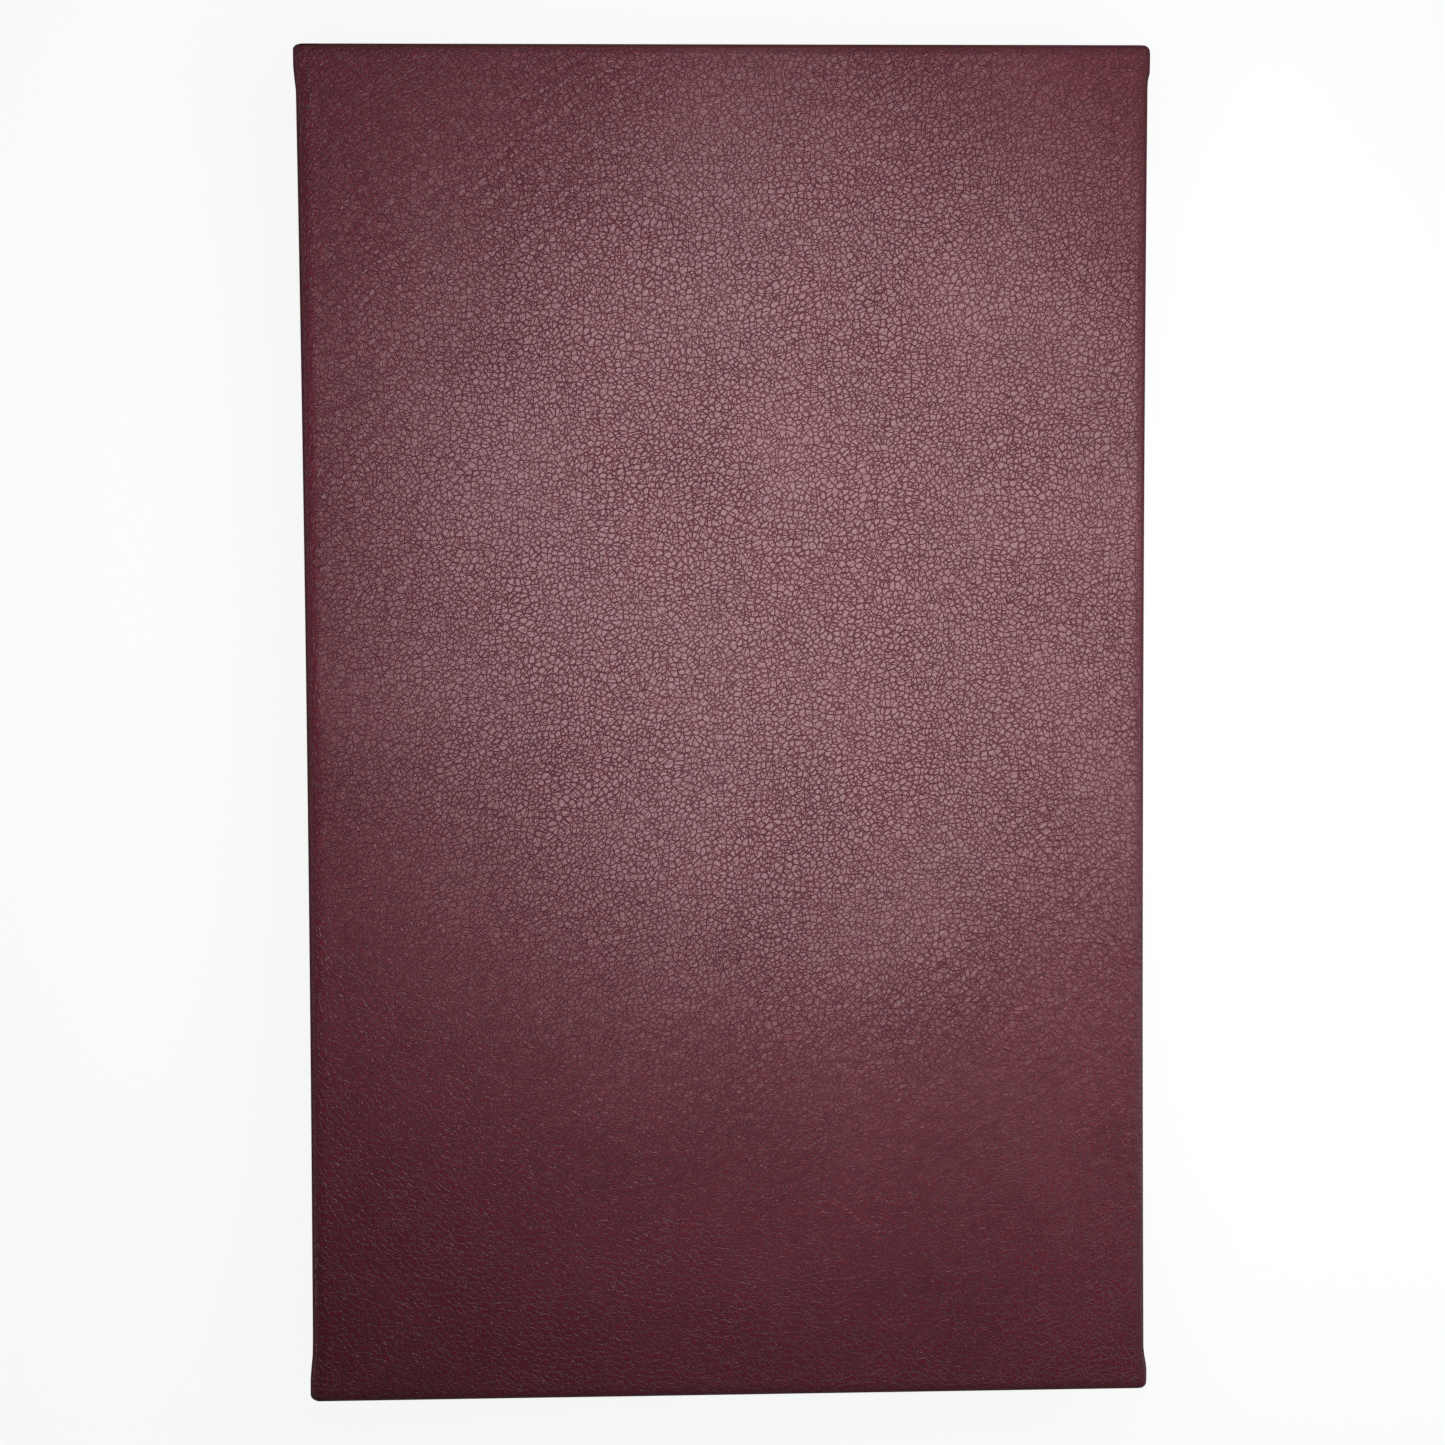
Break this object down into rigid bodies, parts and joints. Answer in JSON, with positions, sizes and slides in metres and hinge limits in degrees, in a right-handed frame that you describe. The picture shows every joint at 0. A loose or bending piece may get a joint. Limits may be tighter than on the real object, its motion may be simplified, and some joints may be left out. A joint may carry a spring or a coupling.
{
  "type": "coin album",
  "caption": "Closed ring-bound coin album in a hard grained leatherette case, with clear pocket leaves on a ring mechanism riveted to the spine.",
  "frame": {"origin": "centre of the bounding box's bottom face, on the outside of the back cover", "axes": "+X from the spine to the fore-edge, +Y from the tail to the head, +Z from the back cover up through the front cover"},
  "size_m": [0.1504, 0.242, 0.0408],
  "materials": {
    "board": "bare greyboard",
    "leatherette": "pebble-grain semi-matt vinyl leatherette, burgundy",
    "endpaper": "matt, fine embossed",
    "liner": "matt book cloth",
    "plated_steel": "bright nickel plate",
    "blade_steel": "plain rolled spring steel",
    "clear_vinyl": "clear glossy film"
  },
  "bodies": {
    "back_cover": {"back_board": "board", "back_leatherette": "leatherette", "back_endpaper": "endpaper"},
    "spine": {"spine_board": "board", "spine_leatherette": "leatherette", "spine_liner": "liner", "ring_housing": "plated_steel", "housing_rivets": "plated_steel", "trigger_pins": "plated_steel"},
    "front_cover": {"front_board": "board", "front_leatherette": "leatherette", "front_endpaper": "endpaper"},
    "rings_front": {"carrier_front": "blade_steel", "ring_halves_front": "plated_steel"},
    "rings_back": {"carrier_back": "blade_steel", "ring_halves_back": "plated_steel"},
    "trigger_head": {"trigger_head": "plated_steel"},
    "trigger_tail": {"trigger_tail": "plated_steel"},
    "leaf_01": {"leaf_01_back_film": "clear_vinyl", "leaf_01_pocket_film": "clear_vinyl"},
    "leaf_02": {"leaf_02_back_film": "clear_vinyl", "leaf_02_pocket_film": "clear_vinyl"},
    "leaf_03": {"leaf_03_back_film": "clear_vinyl", "leaf_03_pocket_film": "clear_vinyl"},
    "leaf_04": {"leaf_04_back_film": "clear_vinyl", "leaf_04_pocket_film": "clear_vinyl"},
    "leaf_05": {"leaf_05_back_film": "clear_vinyl", "leaf_05_pocket_film": "clear_vinyl"},
    "leaf_06": {"leaf_06_back_film": "clear_vinyl", "leaf_06_pocket_film": "clear_vinyl"},
    "leaf_07": {"leaf_07_back_film": "clear_vinyl", "leaf_07_pocket_film": "clear_vinyl"},
    "leaf_08": {"leaf_08_back_film": "clear_vinyl", "leaf_08_pocket_film": "clear_vinyl"},
    "leaf_09": {"leaf_09_back_film": "clear_vinyl", "leaf_09_pocket_film": "clear_vinyl"},
    "leaf_10": {"leaf_10_back_film": "clear_vinyl", "leaf_10_pocket_film": "clear_vinyl"}
  },
  "joints": [
    {"name": "spine_hinge", "type": "hinge", "parent": "back_cover", "child": "spine", "pos_m": [-0.07437, 0, 0.00088], "axis": [0, -1, 0], "range_deg": [0, 90]},
    {"name": "front_hinge", "type": "hinge", "parent": "spine", "child": "front_cover", "pos_m": [-0.07437, 0, 0.03992], "axis": [0, -1, 0], "range_deg": [0, 90]},
    {"name": "ring_opening", "type": "hinge", "parent": "spine", "child": "rings_front", "pos_m": [-0.06945, 0, 0.0263], "axis": [0, -1, 0], "range_deg": [0, 7]},
    {"name": "ring_opening_back", "type": "hinge", "parent": "spine", "child": "rings_back", "pos_m": [-0.06945, 0, 0.0145], "axis": [0, 1, 0], "range_deg": [0, 7]},
    {"name": "trigger_head_press", "type": "hinge", "parent": "spine", "child": "trigger_head", "pos_m": [-0.07005, 0.1108, 0.0204], "axis": [0, 0, 1], "range_deg": [0, 14]},
    {"name": "trigger_tail_press", "type": "hinge", "parent": "spine", "child": "trigger_tail", "pos_m": [-0.07005, -0.1108, 0.0204], "axis": [0, 0, -1], "range_deg": [0, 14]},
    {"name": "leaf_01_turn", "type": "hinge", "parent": "spine", "child": "leaf_01", "pos_m": [-0.05695, 0, 0.0204], "axis": [0, -1, 0], "range_deg": [0, 92.7]},
    {"name": "leaf_02_turn", "type": "hinge", "parent": "spine", "child": "leaf_02", "pos_m": [-0.05695, 0, 0.0204], "axis": [0, -1, 0], "range_deg": [0, 91.8]},
    {"name": "leaf_03_turn", "type": "hinge", "parent": "spine", "child": "leaf_03", "pos_m": [-0.05695, 0, 0.0204], "axis": [0, -1, 0], "range_deg": [0, 90.9]},
    {"name": "leaf_04_turn", "type": "hinge", "parent": "spine", "child": "leaf_04", "pos_m": [-0.05695, 0, 0.0204], "axis": [0, -1, 0], "range_deg": [0, 90]},
    {"name": "leaf_05_turn", "type": "hinge", "parent": "spine", "child": "leaf_05", "pos_m": [-0.05695, 0, 0.0204], "axis": [0, -1, 0], "range_deg": [0, 88.65]},
    {"name": "leaf_06_turn", "type": "hinge", "parent": "spine", "child": "leaf_06", "pos_m": [-0.05695, 0, 0.0204], "axis": [0, 1, 0], "range_deg": [0, 88.65]},
    {"name": "leaf_07_turn", "type": "hinge", "parent": "spine", "child": "leaf_07", "pos_m": [-0.05695, 0, 0.0204], "axis": [0, 1, 0], "range_deg": [0, 90]},
    {"name": "leaf_08_turn", "type": "hinge", "parent": "spine", "child": "leaf_08", "pos_m": [-0.05695, 0, 0.0204], "axis": [0, 1, 0], "range_deg": [0, 90.9]},
    {"name": "leaf_09_turn", "type": "hinge", "parent": "spine", "child": "leaf_09", "pos_m": [-0.05695, 0, 0.0204], "axis": [0, 1, 0], "range_deg": [0, 91.8]},
    {"name": "leaf_10_turn", "type": "hinge", "parent": "spine", "child": "leaf_10", "pos_m": [-0.05695, 0, 0.0204], "axis": [0, 1, 0], "range_deg": [0, 92.7]}
  ],
  "couplings": [
    {"joint": "ring_opening_back", "follows": "ring_opening", "ratio": 1},
    {"joint": "trigger_head_press", "follows": "ring_opening", "ratio": 2},
    {"joint": "trigger_tail_press", "follows": "ring_opening", "ratio": 2},
    {"joint": "leaf_01_turn", "follows": "front_hinge", "ratio": 1.03},
    {"joint": "leaf_02_turn", "follows": "front_hinge", "ratio": 1.02},
    {"joint": "leaf_03_turn", "follows": "front_hinge", "ratio": 1.01},
    {"joint": "leaf_04_turn", "follows": "front_hinge", "ratio": 1},
    {"joint": "leaf_05_turn", "follows": "front_hinge", "ratio": 0.985},
    {"joint": "leaf_06_turn", "follows": "spine_hinge", "ratio": 0.985},
    {"joint": "leaf_07_turn", "follows": "spine_hinge", "ratio": 1},
    {"joint": "leaf_08_turn", "follows": "spine_hinge", "ratio": 1.01},
    {"joint": "leaf_09_turn", "follows": "spine_hinge", "ratio": 1.02},
    {"joint": "leaf_10_turn", "follows": "spine_hinge", "ratio": 1.03}
  ]
}
